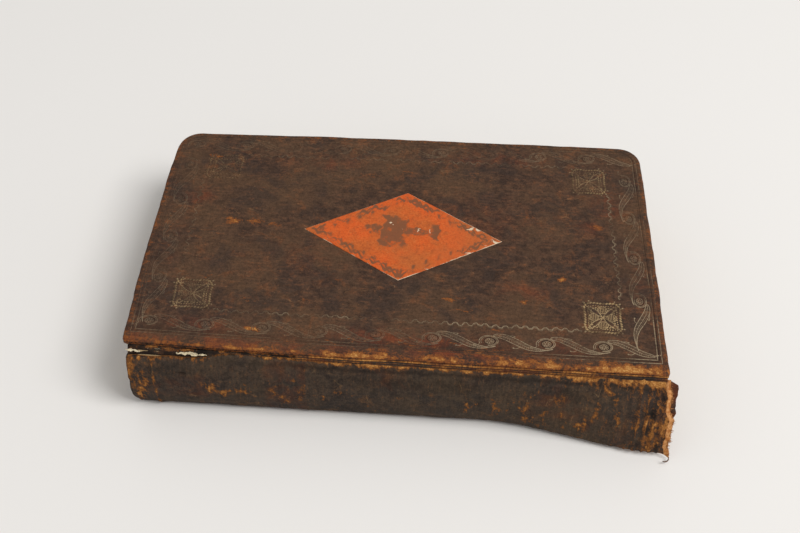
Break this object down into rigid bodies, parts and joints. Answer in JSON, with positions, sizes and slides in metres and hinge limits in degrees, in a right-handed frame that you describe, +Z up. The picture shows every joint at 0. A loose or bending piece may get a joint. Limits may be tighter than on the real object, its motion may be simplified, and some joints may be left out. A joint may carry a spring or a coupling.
{
  "type": "antique leather book",
  "caption": "Small worn leather-bound book with hinged covers, a tooled front cover with a lozenge onlay, and a spine torn at the tail.",
  "frame": {"origin": "middle of the back cover's underside, on the surface that the book lies on", "axes": "+X along the spine towards the tail, -Y the spine side and +Y the fore-edge, +Z up out of the front cover"},
  "size_m": [0.1698, 0.1137, 0.0296],
  "materials": {
    "pages": "matte aged page edges",
    "endpaper": "matte laid paper",
    "lining": "matte glued paper",
    "cord": "twisted hemp",
    "endband_thread": "sewn thread over a core",
    "board": "raw pasteboard",
    "cover_leather": "worn blind-tooled calf",
    "spine_leather": "rubbed dark calf, torn at the tail",
    "onlay_leather": "worn orange onlay with a tooled border"
  },
  "bodies": {
    "book_block": {"text_block": "pages", "back_flyleaf": "endpaper", "front_flyleaf": "endpaper", "spine_lining": "lining", "sewing_cord_1": "cord", "sewing_cord_2": "cord", "sewing_cord_3": "cord", "sewing_cord_4": "cord", "sewing_cord_5": "cord", "head_endband": "endband_thread", "tail_endband": "endband_thread", "spine_leather": "spine_leather"},
    "front_cover": {"front_board": "board", "front_pastedown": "endpaper", "front_cover_leather": "cover_leather", "cover_lozenge": "onlay_leather"},
    "back_cover": {"back_board": "board", "back_pastedown": "endpaper", "back_cover_leather": "cover_leather"}
  },
  "joints": [
    {"name": "front_cover_hinge", "type": "hinge", "parent": "book_block", "child": "front_cover", "pos_m": [0, -0.05, 0.0295], "axis": [1, 0, 0], "range_deg": [0, 180]},
    {"name": "back_cover_hinge", "type": "hinge", "parent": "book_block", "child": "back_cover", "pos_m": [0, -0.05, 0], "axis": [-1, 0, 0], "range_deg": [0, 180]}
  ]
}
